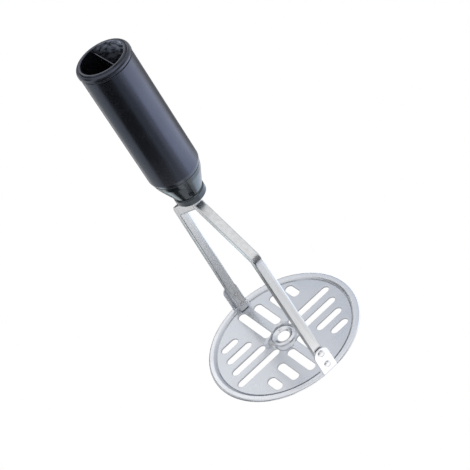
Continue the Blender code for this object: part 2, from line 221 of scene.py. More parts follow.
def finish_mesh(name, work, finish, sharp=SHARP_ANGLE):
    """A new object from a bmesh, closed and facing out, shaded by angle."""
    bmesh.ops.remove_doubles(work, verts=work.verts, dist=MERGE)
    bmesh.ops.recalc_face_normals(work, faces=work.faces)
    mesh = bpy.data.meshes.new(name)
    work.to_mesh(mesh)
    work.free()
    mesh.materials.append(finish)
    mesh.shade_smooth()
    mesh.set_sharp_from_angle(angle=math.radians(sharp))
    piece = bpy.data.objects.new(name, mesh)
    bpy.context.scene.collection.objects.link(piece)
    return piece


def tool_object(name, work):
    """A temporary cutter."""
    bmesh.ops.recalc_face_normals(work, faces=work.faces)
    mesh = bpy.data.meshes.new(name)
    work.to_mesh(mesh)
    work.free()
    tool = bpy.data.objects.new(name, mesh)
    bpy.context.scene.collection.objects.link(tool)
    return tool


def combine(piece, tools, operation):
    """Joins or cuts with each tool in turn, then removes the tools."""
    for tool in tools:
        step = piece.modifiers.new(tool.name, "BOOLEAN")
        step.operation = operation
        step.solver = "EXACT"
        step.object = tool
    bake(piece)
    for tool in tools:
        bpy.data.objects.remove(tool, do_unlink=True)


def bake(piece):
    """Replaces the piece's mesh by what its modifiers make of it."""
    bpy.context.view_layer.update()
    graph = bpy.context.evaluated_depsgraph_get()
    made = bpy.data.meshes.new_from_object(piece.evaluated_get(graph))
    piece.modifiers.clear()
    piece.data = made


def even_shading(piece):
    """Keeps flat faces flat where they run into small rounded edges."""
    weight = piece.modifiers.new("Even shading", "WEIGHTED_NORMAL")
    weight.keep_sharp = True
    weight.weight = 80


def ring(work, radius, height, steps=TURN_STEPS):
    spokes = [2 * math.pi * step / steps for step in range(steps)]
    return [work.verts.new((radius * math.cos(a), radius * math.sin(a), height)) for a in spokes]


def bridge(work, first, second):
    """Faces between two closed loops of the same count."""
    count = len(first)
    for index in range(count):
        after = (index + 1) % count
        work.faces.new((first[index], first[after], second[after], second[index]))


def lathe(work, profile, steps=TURN_STEPS, closed=True):
    """A profile of (radius, height) turned about Z; a radius of 0 closes the end."""
    loops = []
    for radius, height in profile:
        if radius == 0.0:
            loops.append([work.verts.new((0.0, 0.0, height))] * steps)
        else:
            loops.append(ring(work, radius, height, steps))
    pairs = list(zip(loops, loops[1:]))
    if closed:
        pairs.append((loops[-1], loops[0]))
    for first, second in pairs:
        for index in range(steps):
            after = (index + 1) % steps
            corners = []
            for corner in (first[index], first[after], second[after], second[index]):
                if corner not in corners:
                    corners.append(corner)
            work.faces.new(corners)


def cylinder_tool(name, radius, length, centre, axis, steps=48):
    """A round cutter about an axis through a point."""
    work = bmesh.new()
    bmesh.ops.create_cone(work, cap_ends=True, segments=steps, radius1=radius, radius2=radius, depth=length)
    turn = Vector((0, 0, 1)).rotation_difference(Vector(axis)).to_matrix().to_4x4()
    bmesh.ops.transform(work, matrix=Matrix.Translation(centre) @ turn, verts=work.verts)
    return tool_object(name, work)


def box_tool(name, low, high):
    work = bmesh.new()
    bmesh.ops.create_cube(work, size=1.0)
    size = Vector(high) - Vector(low)
    bmesh.ops.transform(work, matrix=Matrix.Diagonal((*size, 1.0)), verts=work.verts)
    bmesh.ops.translate(work, vec=(Vector(high) + Vector(low)) / 2, verts=work.verts)
    return tool_object(name, work)


# ---------------------------------------------------------------- materials

class Finish:
    """A node material under construction, with short ways to add its usual parts."""

    def __init__(self, name, colour, roughness, metallic):
        self.material = bpy.data.materials.new(name)
        self.material.use_nodes = True
        self.nodes = self.material.node_tree.nodes
        self.links = self.material.node_tree.links
        self.shader = self.nodes["Principled BSDF"]
        self.shader.inputs["Base Color"].default_value = (*colour, 1.0)
        self.shader.inputs["Roughness"].default_value = roughness
        self.shader.inputs["Metallic"].default_value = metallic
        self.place = self.add("ShaderNodeTexCoord").outputs["Object"]

    def add(self, kind, **settings):
        node = self.nodes.new(kind)
        for name, value in settings.items():
            setattr(node, name, value)
        return node

    def stretched(self, scale, turn=(0.0, 0.0, 0.0)):
        """The object's coordinates, scaled by axis, so that a texture runs along one of them."""
        mapping = self.add("ShaderNodeMapping")
        mapping.inputs["Scale"].default_value = scale
        mapping.inputs["Rotation"].default_value = turn
        self.links.new(self.place, mapping.inputs["Vector"])
        return mapping.outputs["Vector"]

    def noise(self, vector, scale, detail=4.0, roughness=0.55):
        texture = self.add("ShaderNodeTexNoise")
        texture.inputs["Scale"].default_value = scale
        texture.inputs["Detail"].default_value = detail
        texture.inputs["Roughness"].default_value = roughness
        self.links.new(vector, texture.inputs["Vector"])
        return texture.outputs["Fac"]

    def spread(self, value, low, high, start=0.3, end=0.7):
        """A texture value remapped to run from low to high."""
        remap = self.add("ShaderNodeMapRange")
        remap.inputs["From Min"].default_value = start
        remap.inputs["From Max"].default_value = end
        remap.inputs["To Min"].default_value = low
        remap.inputs["To Max"].default_value = high
        self.links.new(value, remap.inputs["Value"])
        return remap.outputs["Result"]

    def reach(self):
        """The distance from the Z axis."""
        parts = self.add("ShaderNodeSeparateXYZ")
        self.links.new(self.place, parts.inputs["Vector"])
        across = self.add("ShaderNodeCombineXYZ")
        self.links.new(parts.outputs["X"], across.inputs["X"])
        self.links.new(parts.outputs["Y"], across.inputs["Y"])
        length = self.add("ShaderNodeVectorMath", operation="LENGTH")
        self.links.new(across.outputs["Vector"], length.inputs[0])
        return length.outputs["Value"]

    def blend(self, value, first, second):
        mix = self.add("ShaderNodeMix", data_type="RGBA")
        mix.inputs["A"].default_value = (*first, 1.0)
        mix.inputs["B"].default_value = (*second, 1.0)
        self.links.new(value, mix.inputs["Factor"])
        return mix.outputs["Result"]

    def into(self, value, socket):
        self.links.new(value, self.shader.inputs[socket])

    def bump(self, heights):
        """Chains bump nodes from (height, strength, distance) rows into the shader's normal."""
        normal = None
        for height, strength, distance in heights:
            node = self.add("ShaderNodeBump")
            node.inputs["Strength"].default_value = strength
            node.inputs["Distance"].default_value = distance
            self.links.new(height, node.inputs["Height"])
            if normal is not None:
                self.links.new(normal, node.inputs["Normal"])
            normal = node.outputs["Normal"]
        self.into(normal, "Normal")


def plate_steel():
    """Satin pressed sheet: a fine even grain, faint rolling streaks, soft handling marks and a painted
    highlight on the rim crest and hub ring.
    """
    finish = Finish("plate_steel", (0.60, 0.62, 0.66), 0.3, 1.0)
    grain = finish.noise(finish.stretched((1.0, 1.0, 1.0)), 2600.0, 3.0)
    rolling = finish.noise(finish.stretched((60.0, 900.0, 60.0)), 1.0, 3.0)
    clouds = finish.noise(finish.place, 45.0, 3.0)
    sheet = finish.blend(finish.spread(clouds, 0.0, 1.0), (0.57, 0.595, 0.64), (0.64, 0.655, 0.69))
    # Painted highlight: the rim crest beyond 43.6 mm and the hub ring inside 8 mm take a lighter base colour,
    # as if polished.
    reach = finish.reach()
    rim = finish.spread(reach, 0.0, 1.0, 43.6 * MM, 44.6 * MM)
    hub = finish.spread(reach, 1.0, 0.0, 7.4 * MM, 8.0 * MM)
    painted_highlight_mask = finish.add("ShaderNodeMath", operation="ADD")
    finish.links.new(rim, painted_highlight_mask.inputs[0])
    finish.links.new(hub, painted_highlight_mask.inputs[1])
    painted_highlight_mix = finish.add("ShaderNodeMix", data_type="RGBA")
    finish.links.new(painted_highlight_mask.outputs["Value"], painted_highlight_mix.inputs["Factor"])
    finish.links.new(sheet, painted_highlight_mix.inputs["A"])
    painted_highlight_mix.inputs["B"].default_value = (0.72, 0.735, 0.77, 1.0)
    finish.into(painted_highlight_mix.outputs["Result"], "Base Color")
    finish.into(finish.spread(clouds, 0.24, 0.32), "Roughness")
    finish.bump([(grain, 0.012, 0.02 * MM), (rolling, 0.03, 0.02 * MM)])
    return finish.material


def leg_steel():
    """Brushed bar: long scratches along the length, a little darker where they gather."""
    finish = Finish("leg_steel", (0.66, 0.67, 0.68), 0.32, 1.0)
    brushing = finish.noise(finish.stretched((1500.0, 1500.0, 25.0)), 1.0, 4.0, 0.6)
    bands = finish.noise(finish.stretched((500.0, 500.0, 8.0)), 1.0, 2.0)
    finish.into(finish.blend(finish.spread(bands, 0.0, 1.0), (0.60, 0.61, 0.625), (0.70, 0.71, 0.72)),
                "Base Color")
    finish.into(finish.spread(brushing, 0.25, 0.33), "Roughness")
    finish.bump([(brushing, 0.035, 0.03 * MM)])
    return finish.material


def rivet_steel():
    """Set steel with a turned sheen and small dents."""
    finish = Finish("rivet_steel", (0.66, 0.66, 0.67), 0.25, 1.0)
    dents = finish.noise(finish.place, 900.0, 2.0)
    finish.into(finish.spread(dents, 0.18, 0.34), "Roughness")
    finish.into(finish.blend(finish.spread(dents, 0.0, 1.0), (0.60, 0.60, 0.61), (0.72, 0.72, 0.73)),
                "Base Color")
    finish.bump([(dents, 0.2, 0.04 * MM)])
    return finish.material


def black_plastic(name, roughness, tint, sheen):
    """Moulded black plastic: faint flow along the draw, fine texture and rougher worn places."""
    finish = Finish(name, tint, roughness, 0.0)
    flow = finish.noise(finish.stretched((260.0, 260.0, 12.0)), 1.0, 3.0)
    skin = finish.noise(finish.place, 2200.0, 2.0)
    rubs = finish.noise(finish.place, 60.0, 4.0)
    finish.into(finish.spread(rubs, roughness - 0.03, roughness + 0.05), "Roughness")
    finish.into(finish.blend(finish.spread(flow, 0.0, 1.0), tint, tuple(1.6 * c for c in tint)), "Base Color")
    finish.bump([(flow, 0.03, 0.03 * MM), (skin, 0.02, 0.01 * MM)])
    finish.shader.inputs["IOR"].default_value = 1.8
    finish.shader.inputs["Specular Tint"].default_value = (*sheen, 1.0)
    return finish


def grip_plastic():
    """The grip's plastic, with painted light in pale streaks on the bore's wall below the lip, on its +Y
    side.
    """
    finish = black_plastic("grip_plastic", 0.26, (0.0035, 0.004, 0.005), (0.72, 0.78, 1.0))
    parts = finish.add("ShaderNodeSeparateXYZ")
    finish.links.new(finish.place, parts.inputs["Vector"])
    # Painted light: a pale bluish tint in streaks on the +Y half of the bore's wall, from 207 mm up to the
    # lip, where light falls into the opening.
    inside = finish.spread(finish.reach(), 1.0, 0.0, BORE_RADIUS + 0.1 * MM, BORE_RADIUS + 0.3 * MM)
    streaks = finish.noise(finish.stretched((320.0, 320.0, 620.0), (0.5, 0.3, 0.0)), 1.0, 5.0)
    height = finish.spread(parts.outputs["Z"], 0.0, 1.0, PAINTED_LIGHT_LOW, GRIP_HIGH.z)
    side = finish.spread(parts.outputs["Y"], 0.0, 1.0, 0.0, BORE_RADIUS)
    painted_light_mask = finish.spread(streaks, 0.0, 1.0, 0.35, 0.65)
    for value in (height, side, inside):
        product = finish.add("ShaderNodeMath", operation="MULTIPLY")
        finish.links.new(painted_light_mask, product.inputs[0])
        finish.links.new(value, product.inputs[1])
        painted_light_mask = product.outputs["Value"]
    plain = finish.shader.inputs["Base Color"].links[0].from_socket
    painted_light_mix = finish.add("ShaderNodeMix", data_type="RGBA")
    finish.links.new(painted_light_mask, painted_light_mix.inputs["Factor"])
    finish.links.new(plain, painted_light_mix.inputs["A"])
    painted_light_mix.inputs["B"].default_value = (0.62, 0.68, 0.85, 1.0)
    finish.into(painted_light_mix.outputs["Result"], "Base Color")
    return finish.material


def neck_plastic():
    return black_plastic("neck_plastic", 0.16, (0.0035, 0.004, 0.005), (0.78, 0.90, 1.0)).material


# ---------------------------------------------------------------- press plate

def slot_loop(work, group, place, offset, height):
    """One slot's outline, grown by offset, as a loop of vertices."""
    half_width = SLOT_WIDTH / 2
    reach = SLOT_LENGTHS[place] / 2 - half_width
    across = SLOT_PITCH * (0.5 - place)
    radius = half_width + offset
    outline = arc((across, reach - SLOT_CENTRE), (radius, radius), 0, 180, SLOT_END_STEPS)
    outline += arc((across, -reach - SLOT_CENTRE), (radius, radius), 180, 360, SLOT_END_STEPS)
    spin = Matrix.Rotation(2 * math.pi * group / SLOT_GROUPS, 2)
    points = [spin @ Vector(point) for point in outline]
    return [work.verts.new((point.x, point.y, height)) for point in points]


def slot_walls(work, top, bottom):
    """The rounded edge and wall of every slot; returns the outlines on both faces."""
    upper = []
    lower = []
    for group in range(SLOT_GROUPS):
        for place in range(len(SLOT_LENGTHS)):
            loops = []
            for step in range(SLOT_EDGE_STEPS + 1):
                angle = math.pi / 2 * step / SLOT_EDGE_STEPS
                loops.append(slot_loop(work, group, place, SLOT_EDGE * (1 - math.sin(angle)),
                                       top - SLOT_EDGE * (1 - math.cos(angle))))
            loops.append(slot_loop(work, group, place, 0.0, bottom + SLOT_EDGE / 3))
            loops.append(slot_loop(work, group, place, SLOT_EDGE / 3, bottom))
            for first, second in zip(loops, loops[1:]):
                bridge(work, first, second)
            upper.append(loops[0])
            lower.append(loops[-1])
    return upper, lower


def fill_between(work, loops):
    """A flat face with holes, from closed loops in one level plane."""
    edges = []
    for loop in loops:
        for first, second in zip(loop, loop[1:] + loop[:1]):
            edges.append(work.edges.get((first, second)) or work.edges.new((first, second)))
    bmesh.ops.triangle_fill(work, use_beauty=True, edges=edges, normal=(0, 0, 1))


def plate_sections():
    """Outer and inner profiles of the pressed sheet, both from centre to edge and back."""
    middle = SHEET / 2
    corners = [(radius * MM, middle + rise * MM) for radius, rise in RIM_CORNERS]
    rim_line = rounded_path(corners, RIM_ROUNDS, RIM_STEPS)
    lip_centre = rim_line.pop()
    rim = offset_path(rim_line, middle)
    rim += arc((lip_centre[0], lip_centre[1] + middle - RIM_EDGE_DROP), (middle, middle), 0, -180, 8)
    rim += offset_path(rim_line, -middle)[::-1]
    hub_corners = [(radius * MM, middle + rise * MM) for radius, rise in HUB_CORNERS]
    hub_line = rounded_path(hub_corners, [HUB_ROUND] * (len(HUB_CORNERS) - 2), HUB_STEPS)
    hub = offset_path(hub_line, -middle) + offset_path(hub_line, middle)[::-1]
    return rim, hub


def open_lathe(work, profile):
    """A turned open profile; returns its first and last rings."""
    loops = [ring(work, radius, height) for radius, height in profile]
    for first, second in zip(loops, loops[1:]):
        bridge(work, first, second)
    return loops[0], loops[-1]


def ear_solid(side):
    """The bent-up tab: a rounded blank cut across where it bends, folded and thickened."""
    half = EAR_WIDTH / 2
    middle = SHEET / 2
    bend_radius = EAR_BEND + middle
    upright_x = EAR_OUTER_X - middle
    flat_length = upright_x - bend_radius - (EAR_OUTER_X - EAR_ROOT)
    bend_length = bend_radius * math.pi / 2
    length = flat_length + bend_length + EAR_HEIGHT - middle - bend_radius
    outline = [(-half, 0.0), (half, 0.0)]
    corner = (EAR_CORNER, EAR_CORNER)
    outline += arc((half - EAR_CORNER, length - EAR_CORNER), corner, 0, 90, EAR_CORNER_STEPS)
    outline += arc((EAR_CORNER - half, length - EAR_CORNER), corner, 90, 180, EAR_CORNER_STEPS)
    work = bmesh.new()
    work.faces.new([work.verts.new((across, along, 0.0)) for across, along in outline])
    for cut in range(EAR_BEND_CUTS + 1):
        along = flat_length + bend_length * cut / EAR_BEND_CUTS
        everything = work.verts[:] + work.edges[:] + work.faces[:]
        bmesh.ops.bisect_plane(work, geom=everything, plane_co=(0, along, 0), plane_no=(0, 1, 0))
    for vert in work.verts:
        across, along = vert.co.x, vert.co.y
        turned_by = min(max((along - flat_length) / bend_radius, 0.0), math.pi / 2)
        rest = max(along - flat_length - bend_length, 0.0)
        reach = min(along, flat_length) + bend_radius * math.sin(turned_by)
        height = middle + bend_radius * (1 - math.cos(turned_by)) + rest
        vert.co = (side * (EAR_OUTER_X - EAR_ROOT + reach), side * across, height)
    mesh = bpy.data.meshes.new("ear")
    work.to_mesh(mesh)
    work.free()
    ear = bpy.data.objects.new("ear", mesh)
    bpy.context.scene.collection.objects.link(ear)
    thicken = ear.modifiers.new("Thicken", "SOLIDIFY")
    thicken.thickness = SHEET
    thicken.offset = 0.0
    thicken.use_even_offset = True
    soften = ear.modifiers.new("Soften", "BEVEL")
    soften.width = EAR_EDGE
    soften.segments = 2
    soften.limit_method = "ANGLE"
    soften.angle_limit = math.radians(EAR_SOFT_ANGLE)
    bake(ear)
    return ear


def rivet_holes(side, label):
    holes = []
    for level, height in RIVET_HEIGHTS.items():
        holes.append(cylinder_tool(f"{label}_{level}_hole", RIVET_RADIUS + FIT / 2, HOLE_LENGTH,
                                   (side * EAR_OUTER_X, 0.0, height), (1, 0, 0)))
    return holes


def make_plate(finish):
    work = bmesh.new()
    top = SHEET
    bottom = 0.0
    rim, hub = plate_sections()
    rim_top, rim_bottom = open_lathe(work, rim)
    hub_bottom, hub_top = open_lathe(work, hub)
    upper, lower = slot_walls(work, top, bottom)
    fill_between(work, [rim_top, hub_top] + upper)
    fill_between(work, [rim_bottom, hub_bottom] + lower)
    plate = finish_mesh("plate_body", work, finish)
    half = EAR_WIDTH / 2 + EAR_NOTCH
    near_x = PLATE_RADIUS - EAR_NOTCH_DEPTH
    for side, label in ((1, "right"), (-1, "left")):
        ends = sorted((side * near_x, side * (PLATE_RADIUS + SHEET)))
        notch = box_tool("notch", (ends[0], -half, -SHEET), (ends[1], half, 4 * SHEET))
        combine(plate, [notch], "DIFFERENCE")
        combine(plate, [ear_solid(side)], "UNION")
        combine(plate, rivet_holes(side, label), "DIFFERENCE")
    plate.data.set_sharp_from_angle(angle=math.radians(SHARP_ANGLE))
    even_shading(plate)
    return plate


# ---------------------------------------------------------------- legs

def leg_sides():
    """Matching points down the outer and inner faces of the right leg, in the XZ plane."""
    foot_x = LEG_HIGH.x
    bend_x = foot_x - LEG_LEAN
    tang_outer = TANG_INNER + TANG_THICKNESS

    def arm_face(across, depth):
        return BEND_HEIGHT + (bend_x - across) * math.tan(ARM_SLOPE) - depth / math.cos(ARM_SLOPE)

    face = [(foot_x, LEG_LOW.z), (foot_x, EAR_HEIGHT), (bend_x, BEND_HEIGHT),
            (tang_outer, arm_face(tang_outer, 0.0))]
    back = offset_path(face, STRAP_THICKNESS)[:-1]
    back.append((TANG_INNER, arm_face(TANG_INNER, STRAP_THICKNESS)))
    outer = rounded_path(face + [(tang_outer, TANG_TOP)],
                         (BEND_OUTER_RADIUS, BEND_OUTER_RADIUS, TANG_CORNER_RADIUS), BEND_STEPS)
    inner = rounded_path(back + [(TANG_INNER, TANG_TOP)], (BEND_INNER_RADIUS,) * 3, BEND_STEPS)
    return outer, inner


def strap_ring(work, side, outer, inner, shrink):
    """A rounded rectangle across the strap, between its outer and inner points."""
    depth = (Vector(outer) - Vector(inner)).length - 2 * shrink
    along = (Vector(outer) - Vector(inner)).normalized()
    start = Vector(inner) + along * shrink
    half = STRAP_WIDTH / 2 - shrink
    edge = max(STRAP_EDGE - shrink, STRAP_EDGE_LEAST)
    section = []
    for centre, first in (((depth - edge, half - edge), 0), ((edge, half - edge), 90),
                          ((edge, edge - half), 180), ((depth - edge, edge - half), 270)):
        section += arc(centre, (edge, edge), first, first + 90, STRAP_EDGE_STEPS)
    verts = []
    for deep, wide in section:
        point = start + along * deep
        verts.append(work.verts.new((side * point.x, wide, point.y)))
    return verts


def make_leg(side, label, finish):
    work = bmesh.new()
    outer, inner = leg_sides()
    loops = []
    stations = list(zip(outer, inner))
    lift = Vector((0.0, LEG_END_ROUND))
    first = [tuple(Vector(point) + lift) for point in stations[0]]
    last = [tuple(Vector(point) - lift) for point in stations[-1]]
    loops.append(strap_ring(work, side, *stations[0], LEG_END_ROUND))
    loops.append(strap_ring(work, side, *first, 0.0))
    loops += [strap_ring(work, side, *pair, 0.0) for pair in stations[1:-1]]
    loops.append(strap_ring(work, side, *last, 0.0))
    loops.append(strap_ring(work, side, *stations[-1], LEG_END_ROUND))
    for before, after in zip(loops, loops[1:]):
        bridge(work, before, after)
    work.faces.new(loops[0])
    work.faces.new(loops[-1])
    leg = finish_mesh("leg_" + label, work, finish)
    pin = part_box("tang_pin")
    pin_height = (pin[0].z + pin[1].z) / 2
    tang_x = side * (TANG_INNER + TANG_THICKNESS / 2)
    tang_hole = cylinder_tool("tang_hole", pin[1].z - pin_height + FIT, 2 * TANG_THICKNESS,
                              (tang_x, 0.0, pin_height), (1, 0, 0))
    combine(leg, rivet_holes(side, label) + [tang_hole], "DIFFERENCE")
    even_shading(leg)
    return leg


# ---------------------------------------------------------------- rivets

def make_rivets(finish):
    """A set head with a turned ring outside, and a flush end inside."""
    outer_face = EAR_OUTER_X
    inner_face = LEG_HIGH.x - STRAP_THICKNESS
    top = outer_face + RIVET_HEAD
    rim = RIVET_RIM
    groove_in = RIVET_GROOVE_RADIUS - RIVET_GROOVE_HALF
    groove_out = RIVET_GROOVE_RADIUS + RIVET_GROOVE_HALF
    groove = (RIVET_GROOVE_HALF, RIVET_GROOVE_DEPTH)
    profile = [(0.0, top), (groove_in - 0.1 * MM, top), (groove_in, top - RIVET_LIP)]
    profile += arc((RIVET_GROOVE_RADIUS, top - RIVET_LIP), groove, 180, 360, 8)
    profile += [(groove_out + 0.1 * MM, top)]
    profile += arc((RIVET_HEAD_RADIUS - rim, top - rim), (rim, rim), 90, 0, 6)
    profile += [(RIVET_HEAD_RADIUS, outer_face), (RIVET_RADIUS, outer_face), (RIVET_RADIUS, inner_face)]
    tail = inner_face - RIVET_TAIL
    profile += [(RIVET_RADIUS - 0.1 * MM, tail), (0.0, tail)]
    rivets = []
    for side, label in ((1, "right"), (-1, "left")):
        for level, height in RIVET_HEIGHTS.items():
            work = bmesh.new()
            lathe(work, profile, 48, closed=False)
            turn = Matrix.Rotation(side * math.pi / 2, 4, "Y")
            bmesh.ops.transform(work, matrix=Matrix.Translation((0, 0, height)) @ turn, verts=work.verts)
            rivets.append((finish_mesh(f"set_rivet_{label}_{level}", work, finish),
                           f"rivet_{label}_{level}"))
    return rivets


# ---------------------------------------------------------------- neck and grip

def flute_tool():
    """A cutter let into the cone along its slope."""
    collar_top = NECK_LOW.z + COLLAR_HEIGHT
    cone = Vector((CONE_TOP_RADIUS - CONE_RADIUS, CONE_TOP_HEIGHT - collar_top))
    foot_radius = CONE_RADIUS + cone.x * (FLUTE_LOW - collar_top) / cone.y
    length = (FLUTE_HIGH - FLUTE_LOW) * cone.length / cone.y
    tool = box_tool("flute", (-FLUTE_DEPTH, -FLUTE_WIDTH / 2, 0.0), (FLUTE_DEPTH, FLUTE_WIDTH / 2, length))
    turn = Matrix.Rotation(math.radians(FLUTE_BEARING), 4, "Z")
    lean = Matrix.Rotation(math.atan2(cone.x, cone.y), 4, "Y")
    tool.matrix_world = turn @ Matrix.Translation((foot_radius, 0.0, FLUTE_LOW)) @ lean
    soften = tool.modifiers.new("Soften", "BEVEL")
    soften.width = FLUTE_EDGE
    soften.segments = 3
    bake(tool)
    return tool


def make_neck(finish):
    plug_radius = BORE_RADIUS - FIT
    bottom = NECK_LOW.z
    collar_top = bottom + COLLAR_HEIGHT
    shoulder_radius = NECK_HIGH.x
    profile = [(0.0, PLUG_TOP), (plug_radius - PLUG_EDGE, PLUG_TOP), (plug_radius, PLUG_TOP - PLUG_EDGE),
               (plug_radius, SHOULDER_HEIGHT), (shoulder_radius - SHOULDER_EDGE, SHOULDER_HEIGHT)]
    cone = [(shoulder_radius, SHOULDER_HEIGHT - SHOULDER_EDGE), (CONE_TOP_RADIUS, CONE_TOP_HEIGHT),
            (CONE_RADIUS, collar_top), (COLLAR_RADIUS, collar_top - COLLAR_TOP_FALL),
            (COLLAR_RADIUS, bottom + COLLAR_HEIGHT / 2)]
    profile += rounded_path(cone, CONE_ROUNDS, 8)
    profile += arc((COLLAR_RADIUS - COLLAR_ROUND, bottom + COLLAR_ROUND),
                   (COLLAR_ROUND, COLLAR_ROUND), 0, -90, 8)
    profile.append((0.0, bottom))
    work = bmesh.new()
    lathe(work, profile, CORE_STEPS, closed=False)
    neck = finish_mesh("neck", work, finish, NECK_SHARP_ANGLE)
    half_web = WEB_THICKNESS / 2
    web = box_tool("web", (-plug_radius, WEB_OFFSET - half_web, PLUG_TOP - WEB_ROOT),
                   (plug_radius, WEB_OFFSET + half_web, NECK_HIGH.z))
    soften = web.modifiers.new("Soften", "BEVEL")
    soften.width = WEB_EDGE
    soften.segments = 3
    bake(web)
    combine(neck, [web], "UNION")
    combine(neck, [flute_tool()], "DIFFERENCE")
    pocket_x = TANG_INNER + TANG_THICKNESS + FIT
    pocket_y = STRAP_WIDTH / 2 + FIT
    pocket = box_tool("pocket", (-pocket_x, -pocket_y, bottom - SHEET),
                      (pocket_x, pocket_y, TANG_TOP + FIT))
    pin_low, pin_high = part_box("tang_pin")
    bore = cylinder_tool("bore", (pin_high.z - pin_low.z) / 2 + FIT, pin_high.x - pin_low.x + 2 * FIT,
                         (pin_low + pin_high) / 2, (1, 0, 0))
    combine(neck, [pocket, bore], "DIFFERENCE")
    neck.data.set_sharp_from_angle(angle=math.radians(NECK_SHARP_ANGLE))
    even_shading(neck)
    return neck


def make_grip(finish):
    top = GRIP_HIGH.z
    foot = GRIP_LOW.z
    lip_radius = GRIP_HIGH.x
    lip_bottom = top - LIP_HEIGHT
    groove_radius = GRIP_RADIUS - GROOVE_DEPTH
    groove_bottom = lip_bottom - GROOVE_HEIGHT
    profile = arc((BORE_RADIUS + LIP_EDGE, top - LIP_EDGE), (LIP_EDGE, LIP_EDGE), 180, 90, 6)
    dome = arc((LIP_CREST_RADIUS, top - LIP_FALL), (lip_radius - LIP_CREST_RADIUS, LIP_FALL), 90, 0, 40)
    for radius, height in dome:
        from_line = abs(radius - LIP_LINE_RADIUS) / LIP_LINE_DEPTH
        sunk = LIP_LINE_DEPTH * max(0.0, 1.0 - from_line)
        profile.append((radius - sunk / 2, height - sunk))
    profile += arc((lip_radius - LIP_EDGE, lip_bottom + LIP_EDGE), (LIP_EDGE, LIP_EDGE), 0, -90, 5)
    groove_x = groove_radius + GROOVE_ROUND
    corner = (GROOVE_ROUND, GROOVE_ROUND)
    profile += arc((groove_x, lip_bottom - GROOVE_ROUND), corner, 90, 180, 4)
    profile += arc((groove_x, groove_bottom + GROOVE_ROUND), corner, 180, 270, 4)
    profile += arc((GRIP_RADIUS - GROOVE_EDGE, groove_bottom - GROOVE_EDGE),
                   (GROOVE_EDGE, GROOVE_EDGE), 90, 0, 5)
    shoulder = [(GRIP_RADIUS, top - 10 * MM), (GRIP_RADIUS, foot + SHOULDER_RISE),
                (NECK_HIGH.x + 0.15 * MM, foot + 0.1 * MM)]
    profile += rounded_path(shoulder, [SHOULDER_ROUND], 8)[1:]
    profile += [(NECK_HIGH.x - 0.1 * MM, foot), (BORE_RADIUS, foot)]
    work = bmesh.new()
    lathe(work, profile, GRIP_STEPS)
    grip = finish_mesh("grip", work, finish, GRIP_SHARP_ANGLE)
    even_shading(grip)
    return grip


# ---------------------------------------------------------------- set

AZIMUTH = math.radians(75.371)
ELEVATION = math.radians(36.233)
ROLL = math.radians(-33.206)
PAN = math.radians(-1.234)
TILT = math.radians(1.026)
DISTANCE = 0.95
LENS = 135.77
TARGET = Vector((0.0, 0.0, 0.114))
SENSOR_WIDTH = 36.0
CLIP_START = 0.01
FLOOR_HALF = 3.0
FLOOR_HEIGHT = -1.0 * MM
CARD_HEIGHT = -0.5 * MM             # of the floor's cards, just above the floor
WALL_REACH = 1.3                    # of the cards round the set
WHITE = (1.0, 1.0, 1.0)
COOL = (0.9, 0.95, 1.0)


def make_camera():
    """A camera on a sphere round the target, aimed at it, rolled, then panned and tilted."""
    back = Vector((math.sin(AZIMUTH) * math.cos(ELEVATION), -math.cos(AZIMUTH) * math.cos(ELEVATION),
                   math.sin(ELEVATION)))
    right = Vector((math.cos(AZIMUTH), math.sin(AZIMUTH), 0.0))
    up = back.cross(right)
    aimed = Matrix((right, -up, -back))
    turn = Matrix.Rotation(PAN, 3, "Y") @ Matrix.Rotation(TILT, 3, "X") @ Matrix.Rotation(ROLL, 3, "Z")
    axes = turn @ aimed
    data = bpy.data.cameras.new("camera")
    data.lens = LENS
    data.sensor_width = SENSOR_WIDTH
    data.clip_start = CLIP_START
    camera = bpy.data.objects.new("camera", data)
    bpy.context.scene.collection.objects.link(camera)
    placed = Matrix((axes[0], -axes[1], -axes[2])).transposed().to_4x4()
    placed.translation = TARGET + back * DISTANCE
    camera.matrix_world = placed
    bpy.context.scene.camera = camera


def glow(name, colour, strength):
    made = bpy.data.materials.new(name)
    made.use_nodes = True
    nodes = made.node_tree.nodes
    nodes.clear()
    light = nodes.new("ShaderNodeEmission")
    light.inputs["Color"].default_value = (*colour, 1.0)
    light.inputs["Strength"].default_value = strength
    out = nodes.new("ShaderNodeOutputMaterial")
    made.node_tree.links.new(light.outputs["Emission"], out.inputs["Surface"])
    return made


def card(name, work, surface):
    """A lit or dark card of the set: the pieces see it, the camera does not."""
    mesh = bpy.data.meshes.new(name)
    work.to_mesh(mesh)
    work.free()
    mesh.materials.append(surface)
    made = bpy.data.objects.new(name, mesh)
    bpy.context.scene.collection.objects.link(made)
    made.visible_camera = False
    made.visible_shadow = False


def patch(name, reach, start, end, low, high, surface):
    """A card bent round the set, between two bearings from +X and two elevations, in degrees."""
    work = bmesh.new()
    steps = 16
    rows = []
    for row in range(steps + 1):
        rise = math.radians(low + (high - low) * row / steps)
        turns = [math.radians(start + (end - start) * step / steps) for step in range(steps + 1)]
        rows.append([work.verts.new((reach * math.cos(rise) * math.cos(turn),
                                     reach * math.cos(rise) * math.sin(turn),
                                     reach * math.sin(rise))) for turn in turns])
    for lower, upper in zip(rows, rows[1:]):
        for index in range(steps):
            work.faces.new((lower[index], lower[index + 1], upper[index + 1], upper[index]))
    card(name, work, surface)


